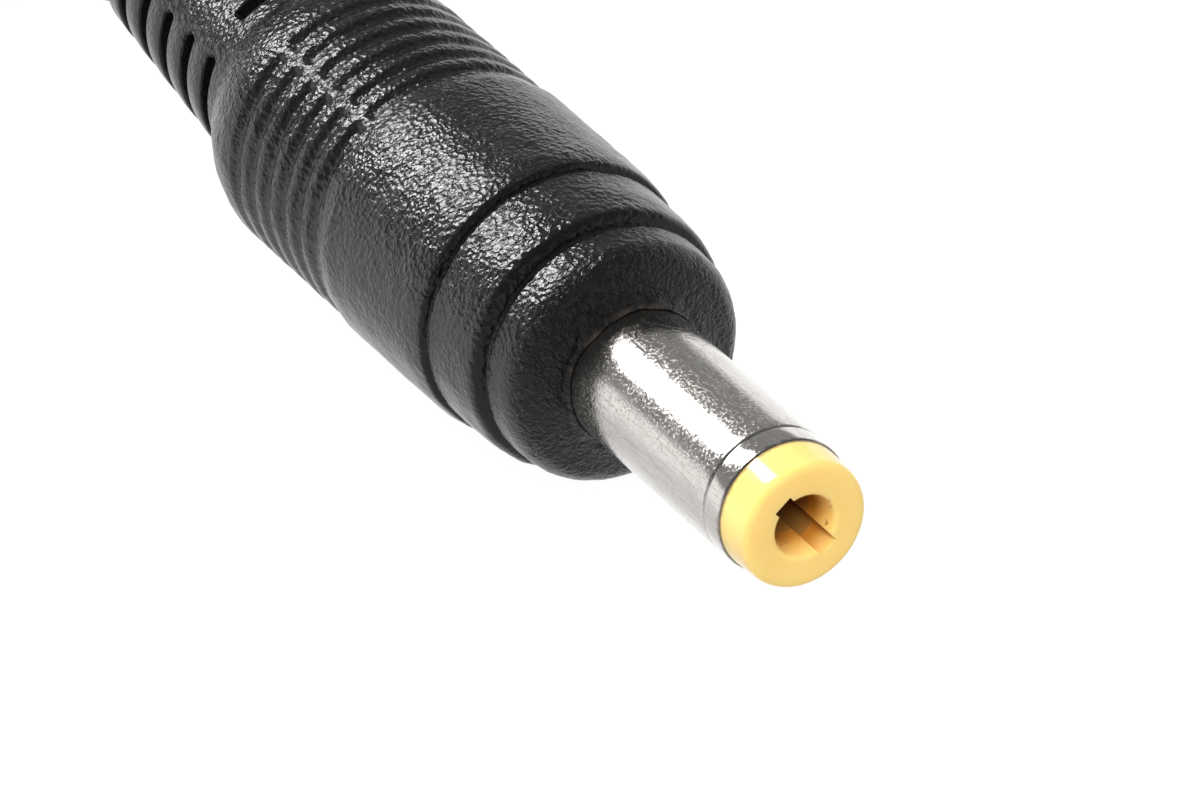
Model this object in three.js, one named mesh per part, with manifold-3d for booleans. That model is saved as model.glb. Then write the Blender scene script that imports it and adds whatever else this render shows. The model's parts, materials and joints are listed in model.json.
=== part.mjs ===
// Laptop power adapter: a welded plastic brick with its power supply inside, and a round
// low-voltage cord, coiled and tied, that ends in a 5.5 mm barrel plug with a yellow tip.
// Millimetres, +Z up. The origin is under the middle of the brick, on the surface it stands on.
// +X runs along the brick to the mains inlet, and the low-voltage cord leaves at -X.

import * as THREE from "three";
import { mergeVertices } from "three/addons/utils/BufferGeometryUtils.js";
import Module from "manifold-3d";

const wasm = await Module();
wasm.setup();

// ---------------------------------------------------------------- driving dimensions

const GAP = 0.3; // clearance between pieces that touch on the real object

// Brick
const BRICK = { length: 108, width: 46, top: 29.5 };
const FOOT_HEIGHT = 0.8; // how far the rubber feet stand proud of the case
const CASE = { corner: 6, edge: 2.5, wall: 2.2, seam: 15.15 };
const LABEL = { length: 70, width: 30, recess: 0.45, thick: 0.2, corner: 2 };
const FOOT = { radius: 4.5, x: 44, y: 14.5, sunk: 0.6 };

// Mains inlet, the usual three-pin appliance inlet
const INLET = { width: 28.4, height: 20.4, depth: 20, floor: 3.5, z: 15.15 };
const SOCKET = { width: 24.4, height: 16.4, chamfer: 5 };
const BLADE = { thick: 2, tall: 4, reach: 14, tail: 2.5, spread: 7, drop: 2 };

// Circuit board and what stands on it
const BOARD = { x0: -50.5, x1: 33.2, width: 38, bottom: 6, thick: 1.6 };
const LED = { x: -45.5, y: -16.4, radius: 1.5, height: 3 };
const DC_EXIT_Z = 14.6;

// Low-voltage cord
const CORD = { radius: 2.3, sides: 8, step: 11 };
const COIL = { x: -36, y: -72, midRadius: 25.9, pitch: 4.7, columns: 5, layers: 2, lift: 1.2 };
const STRAP = { width: 9, thick: 0.85, angle: 225, slack: 0.75, inset: 0.38 };

// Plug, measured back along its axis from the metal rim
const PLUG = { x: 75, y: -125, radius: 5.79, turn: 30.05 };
const BARREL = { radius: 2.75, bore: 2.45, end: 14.2, flange: 3.4 };
const TIP = { radius: 2.6, face: -1.65, bore: 1.05, mouth: 1.28, end: 3.5, slot: [0.8, 3.08] };
const CONTACT = { bore: 1.1, radius: 1.5, start: 3.9, end: 13, tail: 16.8 };
const BOOT = { start: 35, end: 46.2, root: 4.25, tip: 3.0, core: 2.65 };
const SLOTS = { first: 36.3, pitch: 2.03, count: 5, width: 0.65, spine: 24 };
const RIBS = { radius: 5.66, first: 25.1, pitch: 1.18, count: 6, width: 0.6, depth: 0.17 };
// Angles in the plug's cross-section, from straight up, turning to the brick's side
const SPINE_ANGLE = 51.5;
const TIP_SLOT_ANGLE = 39.5;

// Where the cord runs between the brick's exit and the coil, and between the coil and the plug
const BRICK_LEAD = [
  [-76.3, 0, 14.6], [-80.5, 0, 14.5], [-85, -0.4, 13.8], [-90, -2, 12], [-94.8, -5, 9.4],
  [-98.6, -9.4, 6.6], [-101, -14.4, 4.2], [-101.6, -19.6, 2.8], [-100.2, -25, 2.4],
  [-96.8, -29.7, 2.35], [-91.6, -33.4, 2.35], [-85.4, -35.9, 2.35], [-78.6, -36.8, 2.35],
  [-71.5, -36.8, 2.4], [-64, -36.8, 2.6], [-56.5, -36.75, 2.9], [-49, -36.7, 3.3],
  [-42, -36.7, 3.5],
];
const PLUG_LEAD = [
  [-13.5, -44.2, 8.1], [-8.3, -47.3, 7.6], [-3.1, -50.4, 6.6], [2.1, -53.5, 5.2],
  [7.3, -56.6, 3.9], [12.5, -59.7, 2.9], [17.7, -62.8, 2.45], [22.9, -65.9, 2.35],
  [28.1, -69, 2.35], [33.3, -72, 2.4], [38.3, -74.95, 2.6], [43.3, -78.2, 3.4],
  [48.3, -81.5, 4.85], [51.1, -83.8, 5.65], [51.64, -84.63, 5.8],
];

// ---------------------------------------------------------------- materials

const finish = (color, roughness, metalness = 0) =>
  new THREE.MeshStandardMaterial({ color, roughness, metalness });

const LOOK = {
  casePlastic: finish(0x1b1b1d, 0.55),
  inletPlastic: finish(0x111113, 0.45),
  rubber: finish(0x161616, 0.9),
  cordJacket: finish(0x141415, 0.6),
  plugMoulding: finish(0x1a1a1b, 0.5),
  nickel: finish(0xb9b5ad, 0.28, 1),
  yellow: finish(0xf6c860, 0.45),
  brass: finish(0xb78b3c, 0.35, 1),
  whitePlastic: finish(0xdedad0, 0.5),
  board: finish(0x2c5a34, 0.6),
  sheet: finish(0xd8d2bc, 0.6),
  label: finish(0x8d8f92, 0.4),
  ferrite: finish(0x3a3a3d, 0.75),
  copper: finish(0xb4622d, 0.4, 1),
  tape: finish(0xd9b13a, 0.5),
  aluminium: finish(0xa9abad, 0.4, 1),
  blackPart: finish(0x222224, 0.5),
  canSleeve: finish(0x20283c, 0.35),
  filmCapacitor: finish(0xc9a227, 0.5),
  discCapacitor: finish(0x2f62a8, 0.5),
  clear: finish(0xe6efe6, 0.1),
  red: finish(0xa8221c, 0.5),
  blue: finish(0x2445a0, 0.5),
  strap: finish(0x101012, 0.95),
};

// ---------------------------------------------------------------- solids

function toSolid(geometry) {
  const bare = geometry.index ? geometry.toNonIndexed() : geometry.clone();
  bare.deleteAttribute("normal");
  bare.deleteAttribute("uv");
  const merged = mergeVertices(bare, 1e-4);
  return new wasm.Manifold(
    new wasm.Mesh({
      numProp: 3,
      vertProperties: new Float32Array(merged.attributes.position.array),
      triVerts: new Uint32Array(merged.index.array),
    }),
  );
}

function toGeometry(manifold) {
  const mesh = manifold.getMesh();
  const geometry = new THREE.BufferGeometry();
  geometry.setAttribute("position", new THREE.BufferAttribute(mesh.vertProperties, 3));
  geometry.setIndex(new THREE.BufferAttribute(mesh.triVerts, 1));
  geometry.computeVertexNormals();
  return geometry;
}

const cut = (body, ...tools) =>
  tools.reduce((left, tool) => left.subtract(toSolid(tool)), toSolid(body));
const join = (body, ...others) =>
  others.reduce((sum, other) => sum.add(toSolid(other)), toSolid(body));

// A box by its lowest and highest corners
function box(x0, x1, y0, y1, z0, z1) {
  const geometry = new THREE.BoxGeometry(x1 - x0, y1 - y0, z1 - z0);
  return geometry.translate((x0 + x1) / 2, (y0 + y1) / 2, (z0 + z1) / 2);
}

function roundedRectangle(length, width, radius) {
  const [x, y] = [length / 2, width / 2];
  const shape = new THREE.Shape();
  shape.moveTo(x, -y + radius);
  shape.absarc(x - radius, y - radius, radius, 0, Math.PI / 2);
  shape.absarc(-x + radius, y - radius, radius, Math.PI / 2, Math.PI);
  shape.absarc(-x + radius, -y + radius, radius, Math.PI, 1.5 * Math.PI);
  shape.absarc(x - radius, -y + radius, radius, 1.5 * Math.PI, 2 * Math.PI);
  return shape;
}

// An upright prism of a flat shape, from z0 to z1
function prism(shape, z0, z1, curveSegments = 3) {
  const options = { depth: z1 - z0, bevelEnabled: false, curveSegments };
  return new THREE.ExtrudeGeometry(shape, options).translate(0, 0, z0);
}

// A block with rounded corners and rounded top and bottom edges
function roundedBlock(length, width, z0, z1, corner, edge) {
  const shape = roundedRectangle(length - 2 * edge, width - 2 * edge, corner - edge);
  const geometry = new THREE.ExtrudeGeometry(shape, {
    depth: z1 - z0 - 2 * edge,
    bevelSize: edge,
    bevelThickness: edge,
    bevelSegments: 2,
    curveSegments: 4,
  });
  return geometry.translate(0, 0, z0 + edge);
}

// An upright cylinder standing on z0
function rod(x, y, z0, z1, radius, sides = 16) {
  const geometry = new THREE.CylinderGeometry(radius, radius, z1 - z0, sides);
  return geometry.rotateX(Math.PI / 2).translate(x, y, (z0 + z1) / 2);
}

// A turned body about the local Y axis, from [radius, distance] points
function turned(outline, sides = 32) {
  return new THREE.LatheGeometry(outline.map(([r, s]) => new THREE.Vector2(r, s)), sides);
}

// A turned body about a line along X
function turnedAlongX(outline, sides, y, z) {
  return turned(outline, sides).rotateZ(-Math.PI / 2).translate(0, y, z);
}

// Lays a shape drawn in X and Y across the X axis, its own X along Y and its own Y upright
const YZ_TO_X = new THREE.Matrix4().makeBasis(
  new THREE.Vector3(0, 1, 0),
  new THREE.Vector3(0, 0, 1),
  new THREE.Vector3(1, 0, 0),
);

// A round wire along a smooth curve through the points
function wire(points, radius, sides, steps) {
  const path = new THREE.CatmullRomCurve3(points.map((p) => new THREE.Vector3(...p)));
  const section = new THREE.Shape();
  section.absarc(0, 0, radius, 0, 2 * Math.PI);
  return new THREE.ExtrudeGeometry(section, {
    steps: steps ?? Math.round(path.getLength() / CORD.step),
    curveSegments: sides,
    extrudePath: path,
  });
}

const adapter = new THREE.Group();
const plug = new THREE.Group();

function add(name, shape, material, group = adapter) {
  const geometry = shape.isBufferGeometry ? shape : toGeometry(shape);
  const mesh = new THREE.Mesh(geometry, material);
  mesh.name = name;
  group.add(mesh);
  return mesh;
}

// ---------------------------------------------------------------- brick case

const half = { x: BRICK.length / 2, y: BRICK.width / 2 };
const inside = {
  x: half.x - CASE.wall,
  y: half.y - CASE.wall,
  bottom: FOOT_HEIGHT + CASE.wall,
  top: BRICK.top - CASE.wall,
};
const FAR = 200; // larger than anything on the brick

const feet = new Map([
  ["foot_inlet_left", [FOOT.x, -FOOT.y]],
  ["foot_inlet_right", [FOOT.x, FOOT.y]],
  ["foot_cord_left", [-FOOT.x, -FOOT.y]],
  ["foot_cord_right", [-FOOT.x, FOOT.y]],
]);

function caseShell() {
  const outer = roundedBlock(
    BRICK.length, BRICK.width, FOOT_HEIGHT, BRICK.top, CASE.corner, CASE.edge,
  );
  const hollow = roundedBlock(
    2 * inside.x, 2 * inside.y, inside.bottom, inside.top, CASE.corner - CASE.wall, 1.2,
  );
  const inletHole = box(
    half.x - 8, half.x + 8,
    -INLET.width / 2 - GAP, INLET.width / 2 + GAP,
    INLET.z - INLET.height / 2 - GAP, INLET.z + INLET.height / 2 + GAP,
  );
  const cordHole = turnedAlongX(
    [[0, -half.x - 3], [4.5, -half.x - 3], [4.5, -inside.x + 3], [0, -inside.x + 3]],
    24, 0, DC_EXIT_Z,
  );
  return cut(outer, hollow, inletHole, cordHole);
}

function makeCase() {
  const shell = caseShell();
  const above = box(-FAR, FAR, -FAR, FAR, CASE.seam + GAP / 2, FAR);
  const below = box(-FAR, FAR, -FAR, FAR, -FAR, CASE.seam - GAP / 2);
  const lightHole = rod(LED.x, LED.y, inside.top - 2, BRICK.top + 1, LED.radius + 0.1);
  const top = shell.intersect(toSolid(above)).subtract(toSolid(lightHole));

  // The lower half has a tongue inside the seam, a label recess and four foot pockets
  const [lipX, lipY] = [2 * (inside.x - GAP), 2 * (inside.y - GAP)];
  const corner = CASE.corner - CASE.wall - GAP;
  const lip = cut(
    prism(roundedRectangle(lipX + 2 * GAP, lipY + 2 * GAP, corner), CASE.seam - 4, CASE.seam - 1),
    prism(roundedRectangle(lipX - 2, lipY - 2, corner - 1), 0, FAR),
  );
  const tongue = cut(
    prism(roundedRectangle(lipX, lipY, corner), CASE.seam - 1.5, CASE.seam + 2),
    prism(roundedRectangle(lipX - 2, lipY - 2, corner - 1), 0, FAR),
  );
  const openings = join(
    box(half.x - 9, half.x + 9, -INLET.width / 2 - GAP, INLET.width / 2 + GAP, 0, FAR),
    turnedAlongX(
      [[0, -half.x - 3], [5.5, -half.x - 3], [5.5, -inside.x + 3], [0, -inside.x + 3]],
      24, 0, DC_EXIT_Z,
    ),
  );
  let bottom = shell.intersect(toSolid(below)).add(lip.add(tongue).subtract(openings));
  const { length, width, recess, corner: labelCorner } = LABEL;
  const labelPocket = roundedRectangle(length + 2 * GAP, width + 2 * GAP, labelCorner);
  bottom = bottom.subtract(toSolid(prism(labelPocket, -1, FOOT_HEIGHT + recess)));
  for (const [x, y] of feet.values()) {
    const pocket = rod(x, y, -1, FOOT_HEIGHT + FOOT.sunk + GAP, FOOT.radius + GAP, 14);
    bottom = bottom.subtract(toSolid(pocket));
  }
  add("case_top", top, LOOK.casePlastic);
  add("case_bottom", bottom, LOOK.casePlastic);
}

function makeFeetAndLabel() {
  for (const [name, [x, y]] of feet) {
    add(name, rod(x, y, 0, FOOT_HEIGHT + FOOT.sunk, FOOT.radius, 18), LOOK.rubber);
  }
  const outline = roundedRectangle(LABEL.length, LABEL.width, LABEL.corner);
  const face = FOOT_HEIGHT + LABEL.recess - GAP / 2 - LABEL.thick;
  add("rating_label_blank", prism(outline, face, face + LABEL.thick), LOOK.label);
}

// ---------------------------------------------------------------- mains inlet

function makeInlet() {
  const back = half.x - INLET.depth;
  const floor = back + INLET.floor;
  const [w, h, c] = [SOCKET.width / 2, SOCKET.height / 2, SOCKET.chamfer];
  const mouth = new THREE.Shape();
  mouth.moveTo(-w, -h).lineTo(w, -h).lineTo(w, h - c).lineTo(w - c, h);
  mouth.lineTo(-w + c, h).lineTo(-w, h - c);
  // Drawn in Y and Z, then pushed along X
  const socket = new THREE.ExtrudeGeometry(mouth, { depth: INLET.depth, bevelEnabled: false });
  socket.applyMatrix4(YZ_TO_X).translate(floor, 0, INLET.z);

  const blades = new Map([
    ["inlet_pin_live", [-BLADE.spread, -BLADE.drop]],
    ["inlet_pin_neutral", [BLADE.spread, -BLADE.drop]],
    ["inlet_pin_earth", [0, BLADE.drop]],
  ]);
  const [t, v] = [BLADE.thick / 2, BLADE.tall / 2];
  const holes = [...blades.values()].map(([y, z]) =>
    box(
      back - 1, floor + 1, y - t - GAP, y + t + GAP,
      INLET.z + z - v - GAP, INLET.z + z + v + GAP,
    ),
  );
  const outer = box(
    back, half.x, -INLET.width / 2, INLET.width / 2,
    INLET.z - INLET.height / 2, INLET.z + INLET.height / 2,
  );
  add("ac_inlet_housing", cut(outer, socket, ...holes), LOOK.inletPlastic);
  for (const [name, [y, z]] of blades) {
    const blade = box(
      back - BLADE.tail, floor + BLADE.reach, y - t, y + t,
      INLET.z + z - v, INLET.z + z + v,
    );
    add(name, blade, LOOK.nickel);
  }
}

// ---------------------------------------------------------------- circuit board

const deck = BOARD.bottom + BOARD.thick + GAP; // the height that components stand at

function makeBoard() {
  const y = BOARD.width / 2;
  add(
    "circuit_board",
    box(BOARD.x0, BOARD.x1, -y, y, BOARD.bottom, BOARD.bottom + BOARD.thick),
    LOOK.board,
  );
  const sheetBottom = inside.bottom + GAP;
  add(
    "insulation_sheet",
    box(BOARD.x0, BOARD.x1, -y, y, sheetBottom, sheetBottom + 0.4),
    LOOK.sheet,
  );
}

// A flat-ended cylinder lying along X
function lyingCan(x0, x1, y, z, radius, sides) {
  const edge = 0.6;
  const outline = [
    [0, x0], [radius - edge, x0], [radius, x0 + edge],
    [radius, x1 - edge], [radius - edge, x1], [0, x1],
  ];
  return turnedAlongX(outline, sides, y, z);
}

function standingCan(x, y, height, radius) {
  const edge = 0.4;
  const outline = [
    [0, 0], [radius - edge, 0], [radius, edge],
    [radius, height - edge], [radius - edge, height], [0, height],
  ];
  return turned(outline, 18).rotateX(Math.PI / 2).translate(x, y, deck);
}

function makeInputStage() {
  add("fuse", lyingCan(20.5, 31.5, 14.5, deck + 2.8, 2.8, 14), LOOK.sheet);
  const filmBlock = roundedRectangle(7.5, 17.5, 1);
  add(
    "x_capacitor",
    prism(filmBlock, deck, deck + 13, 2).translate(25.5, -9, 0),
    LOOK.filmCapacitor,
  );
  add("bridge_rectifier", box(12.2, 15.8, 3.5, 18.5, deck, deck + 11), LOOK.blackPart);

  // A ring core that stands on edge, with a winding on each side of it
  const choke = { x: 14, y: -8.6, ring: 5.8, core: 2, winding: 2.9 };
  const ring = (tube) =>
    new THREE.TorusGeometry(choke.ring, tube, 8, 20)
      .rotateY(Math.PI / 2)
      .translate(choke.x, choke.y, deck + choke.ring + choke.winding);
  add("choke_core", ring(choke.core), LOOK.ferrite);
  const sleeve = cut(ring(choke.winding), ring(choke.core + GAP));
  for (const [name, side] of [["choke_winding_line", -1], ["choke_winding_neutral", 1]]) {
    const near = choke.y + side * 1.5;
    const far = choke.y + side * 20;
    const keep = box(0, 30, Math.min(near, far), Math.max(near, far), deck, FAR);
    add(name, sleeve.intersect(toSolid(keep)), LOOK.copper);
  }
}

function makePrimaryStage() {
  add("bulk_capacitor", lyingCan(-15, 10, -11.4, deck + 8.1, 7.8, 24), LOOK.canSleeve);
  add("primary_heatsink", box(-17.8, 9, 17.5, 19, deck, deck + 16), LOOK.aluminium);
  add("switching_transistor", box(-9, 1, 12.7, 17.2, deck, deck + 15), LOOK.blackPart);
  add("controller_chip", box(-4.5, 0.5, 1.5, 7.5, deck, deck + 1.6), LOOK.blackPart);
}

function makeTransformer() {
  const centre = -27;
  const [bottom, top] = [deck, deck + 17];
  const core = cut(
    box(centre - 8.5, centre + 8.5, -13, 13, bottom, top),
    box(centre - 9, centre + 9, 3.6, 9.7, bottom + 3.4, top - 3.4),
    box(centre - 9, centre + 9, -9.7, -3.6, bottom + 3.4, top - 3.4),
  );
  add("transformer_core", core, LOOK.ferrite);
  const winding = cut(
    prism(roundedRectangle(22, 18.6, 3), bottom + 3.8, top - 3.8, 3),
    box(-8.8, 8.8, -3.9, 3.9, 0, FAR),
  );
  const mesh = add("transformer_winding", winding, LOOK.tape);
  mesh.position.x = centre;
}

function makeOutputStage() {
  add("y_capacitor", uprightDisc(-27, 16.7, deck + 4.4, 4.2, 3.4), LOOK.discCapacitor);
  add("optocoupler", box(-30.2, -23.8, -18.9, -14.3, deck, deck + 3.6), LOOK.blackPart);
  add("secondary_heatsink", box(-41, -39.5, -14.5, 18, deck, deck + 16), LOOK.aluminium);
  add("rectifier_diode", box(-45.9, -41.4, -13, -3, deck, deck + 15), LOOK.blackPart);
  add("output_capacitor_1", standingCan(-45.2, 14.4, 15, 3.7), LOOK.canSleeve);
  add("output_capacitor_2", standingCan(-45.2, 6, 15, 3.7), LOOK.canSleeve);
}

// A disc standing on edge, with its axis along Y
function uprightDisc(x, y, z, radius, thick) {
  return new THREE.CylinderGeometry(radius, radius, thick, 20).translate(x, y, z);
}

function makeIndicator() {
  const ledTop = deck + LED.height;
  add("power_led", rod(LED.x, LED.y, deck, ledTop, LED.radius - 0.2, 14), LOOK.clear);
  add(
    "light_pipe",
    rod(LED.x, LED.y, ledTop + GAP, BRICK.top - 0.1, LED.radius - 0.2, 14),
    LOOK.clear,
  );
}

function makeInnerWires() {
  const tail = half.x - INLET.depth - BLADE.tail - GAP;
  const bladeZ = INLET.z - BLADE.drop;
  for (const [name, y, look] of [
    ["wire_live", -BLADE.spread, LOOK.red],
    ["wire_neutral", BLADE.spread, LOOK.blue],
  ]) {
    const drop = [
      [tail, y, bladeZ], [tail - 0.7, y, bladeZ - 0.4],
      [tail - 1, y, bladeZ - 2], [tail - 1, y, deck],
    ];
    add(name, wire(drop, 0.55, 6, 6), look);
  }
  for (const [name, y, look] of [
    ["wire_output_positive", -1.1, LOOK.red],
    ["wire_output_negative", 1, LOOK.blackPart],
  ]) {
    const drop = [
      [-49.4, y, DC_EXIT_Z], [-48, y, DC_EXIT_Z - 0.5], [-46.8, y, 11.6], [-46.6, y, deck],
    ];
    add(name, wire(drop, 0.7, 6, 6), look);
  }
}

// ---------------------------------------------------------------- cord

// The gland holds the wall between a flange inside and a shoulder outside, and its tapered
// boot has rings that let it flex
function makeBrickStrainRelief() {
  const boot = { shoulder: -half.x - GAP, ringPitch: 2.6, rings: 7, root: 4.9, tip: 3.3 };
  const flangeFace = -inside.x + GAP;
  const outline = [
    [0, flangeFace + 1.6], [5.3, flangeFace + 1.6], [5.3, flangeFace],
    [4.2, flangeFace], [4.2, boot.shoulder], [5.6, boot.shoulder],
    [5.6, boot.shoulder - 1.4], [boot.root - 1, boot.shoulder - 1.8],
  ];
  for (let i = 0; i < boot.rings; i++) {
    const r = THREE.MathUtils.lerp(boot.root, boot.tip, i / (boot.rings - 1));
    const s = boot.shoulder - 2.2 - i * boot.ringPitch;
    outline.push([r, s], [r, s - 1.7], [r - 0.9 + 0.08 * i, s - 2.1]);
  }
  outline.push([2.75, -76], [0, -76]);
  const ordered = outline.reverse();
  add("dc_strain_relief", turnedAlongX(ordered, 16, 0, DC_EXIT_Z), LOOK.plugMoulding);
}

function coilRing(grow) {
  const halfWidth = (COIL.columns * COIL.pitch) / 2 + grow;
  const [r0, r1] = [COIL.midRadius - halfWidth, COIL.midRadius + halfWidth];
  const z0 = COIL.lift - grow;
  const z1 = COIL.lift + 2 * CORD.radius * COIL.layers + grow;
  const edge = 1.6;
  const outline = [
    [r0 + edge, z0], [r1 - edge, z0], [r1, z0 + edge], [r1, z1 - edge],
    [r1 - edge, z1], [r0 + edge, z1], [r0, z1 - edge], [r0, z0 + edge],
  ];
  outline.push(outline[0]);
  return turned(outline, 40).rotateX(Math.PI / 2).translate(COIL.x, COIL.y, 0);
}

function makeCord() {
  const stop = coilRing(GAP);
  for (const [name, points] of [
    ["dc_cord_brick_lead", BRICK_LEAD],
    ["dc_cord_plug_lead", PLUG_LEAD],
  ]) {
    const lead = cut(wire(points, CORD.radius, CORD.sides), stop);
    add(name, lead, LOOK.cordJacket);
  }
  add("dc_cord_coil", coilRing(0), LOOK.cordJacket);
}

// A flat strap wrapped round the bundle of turns
function makeStrap() {
  const radial = (COIL.columns * COIL.pitch) / 2 + STRAP.slack;
  const tall = 2 * CORD.radius * COIL.layers + 2 * GAP;
  const { thick, width } = STRAP;
  const hole = roundedRectangle(2 * radial, tall, 1.4);
  const band = roundedRectangle(2 * (radial + thick), tall + 2 * thick, 1.4 + thick);
  const loop = cut(prism(band, 0, width, 3), prism(hole, -1, width + 1, 3));
  const strap = add("cord_strap", loop, LOOK.strap);
  strap.geometry.translate(0, 0, -width / 2).rotateX(Math.PI / 2);
  const angle = THREE.MathUtils.degToRad(STRAP.angle);
  strap.rotation.z = angle;
  const reach = COIL.midRadius - STRAP.inset; // the bundle curves more at its inner side
  strap.position.set(
    COIL.x + reach * Math.cos(angle),
    COIL.y + reach * Math.sin(angle),
    tall / 2 + thick + 0.02,
  );
}

// ---------------------------------------------------------------- plug

// In the plug's own frame, local Y runs back from the metal rim and local Z is up

function makePlugMoulding() {
  const rib = (s) => [
    [RIBS.radius, s - RIBS.width / 2 - 0.1], [RIBS.radius - RIBS.depth, s - RIBS.width / 4],
    [RIBS.radius - RIBS.depth, s + RIBS.width / 4], [RIBS.radius, s + RIBS.width / 2 + 0.1],
  ];
  const ribs = Array.from({ length: RIBS.count }, (_, i) => rib(RIBS.first + i * RIBS.pitch));
  const outline = [
    [0, 10.8], [3.6, 10.85], [4.5, 11.1], [4.85, 11.5], [5, 12], [5, 12.9],
    [4.8, 13.1], [4.85, 13.25], [5.38, 13.5], [5.5, 16.5], [5.36, 16.7],
    [5.5, 16.85], [5.75, 17.1], [PLUG.radius, 17.6], [PLUG.radius, 23.9],
    [RIBS.radius, 24.5], ...ribs.flat(), [RIBS.radius, 32], [5.4, 33.2], [4.9, 34.3],
    [BOOT.root + 0.1, BOOT.start - 0.1], [BOOT.root, BOOT.start + 0.05],
    [BOOT.tip, BOOT.end - 0.2], [BOOT.tip - 0.2, BOOT.end], [0, BOOT.end],
  ];
  // The cavity holds the metal sleeve, its flange and the inner moulding
  const cavity = [
    [0, 10], [BARREL.radius + GAP, 10], [BARREL.radius + GAP, 13.1],
    [BARREL.flange + GAP, 13.1], [BARREL.flange + GAP, 14.5], [3.9, 14.5], [3.9, 24.3], [0, 24.3],
  ];
  let body = cut(turned(outline, 24), turned(cavity, 16));
  for (let i = 0; i < SLOTS.count; i++) {
    for (const side of [0, 180]) {
      body = body.subtract(toSolid(bootSlot(SLOTS.first + i * SLOTS.pitch, side)));
    }
  }
  add("plug_overmould", body, LOOK.plugMoulding, plug);
}

// One slot of the boot: an arc that stops at the spine on each side
function bootSlot(s, side) {
  const spread = 180 - SLOTS.spine;
  const middle = THREE.MathUtils.degToRad(SPINE_ANGLE + 90 + side);
  const reach = THREE.MathUtils.degToRad(spread / 2);
  const arc = new THREE.Shape();
  arc.absarc(0, 0, 6, middle - reach, middle + reach, false);
  arc.absarc(0, 0, BOOT.core, middle + reach, middle - reach, true);
  const depth = SLOTS.width;
  const slot = new THREE.ExtrudeGeometry(arc, { depth, bevelEnabled: false, curveSegments: 6 });
  // The sector is drawn with angle 0 straight up, then laid across the axis
  return slot.rotateZ(Math.PI / 2).rotateX(Math.PI / 2).translate(0, s + depth / 2, 0);
}

function makePlugMetal() {
  const { radius, bore, end, flange } = BARREL;
  const sleeve = [
    [bore, 0], [radius - 0.15, 0], [radius, 0.15], [radius, end - 0.8],
    [flange, end - 0.8], [flange, end], [bore, end], [bore, 0],
  ];
  add("plug_barrel", turned(sleeve, 28), LOOK.nickel, plug);
  const tube = [
    [CONTACT.bore, CONTACT.start], [CONTACT.radius, CONTACT.start],
    [CONTACT.radius, CONTACT.end], [0.8, CONTACT.end], [0.8, CONTACT.tail], [0, CONTACT.tail],
    [0, CONTACT.end - 1], [CONTACT.bore, CONTACT.end - 1], [CONTACT.bore, CONTACT.start],
  ];
  add("plug_centre_contact", turned(tube, 20), LOOK.brass, plug);
}

function makePlugInsulators() {
  const { radius, face, bore, mouth, end, slot } = TIP;
  const neck = BARREL.bore - GAP;
  const outline = [
    [bore, face + 0.7], [mouth, face], [radius - 0.4, face], [radius - 0.12, face + 0.12],
    [radius, face + 0.4], [radius, -0.05 - GAP], [neck, -0.05 - GAP], [neck, end],
    [bore, end], [bore, face + 0.7],
  ];
  const notch = box(-slot[0] / 2, slot[0] / 2, face - 1, end + 1, -slot[1] / 2, slot[1] / 2);
  // A turn about local Y that leans the notch's long side over towards the brick's side
  notch.rotateY(THREE.MathUtils.degToRad(-TIP_SLOT_ANGLE));
  add("plug_tip_insulator", cut(turned(outline, 24), notch), LOOK.yellow, plug);

  const sleeve = [
    [CONTACT.radius + GAP, CONTACT.start], [neck, CONTACT.start], [neck, CONTACT.end],
    [CONTACT.radius + GAP, CONTACT.end], [CONTACT.radius + GAP, CONTACT.start],
  ];
  add("plug_core_insulator", turned(sleeve, 20), LOOK.whitePlastic, plug);

  const tailPocket = 0.8 + GAP;
  const inner = [
    [tailPocket, 14.6], [3.3, 14.6], [3.6, 15], [3.6, 23.4], [3, 24], [0, 24],
    [0, CONTACT.tail + GAP], [tailPocket, CONTACT.tail + GAP], [tailPocket, 14.6],
  ];
  add("plug_inner_moulding", turned(inner, 20), LOOK.whitePlastic, plug);
}

// ---------------------------------------------------------------- assembly

makeCase();
makeFeetAndLabel();
makeInlet();
makeBoard();
makeInputStage();
makePrimaryStage();
makeTransformer();
makeOutputStage();
makeIndicator();
makeInnerWires();
makeBrickStrainRelief();
makeCord();
makeStrap();
makePlugMoulding();
makePlugMetal();
makePlugInsulators();

plug.position.set(PLUG.x, PLUG.y, PLUG.radius + 0.01);
plug.rotation.z = THREE.MathUtils.degToRad(PLUG.turn);
adapter.add(plug);

export default adapter;
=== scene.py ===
"""Laptop power adapter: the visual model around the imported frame.

Lengths in this file are millimetres until a mesh, a material or a light turns them into metres.
The plug is drawn in its own coordinates: s runs back along its axis from the metal rim, and an
angle in its cross-section is 0 straight up and grows towards the side that faces the cord coil.
"""
import json
import math

import bmesh
import bpy
from mathutils import Matrix, Vector, noise


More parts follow.
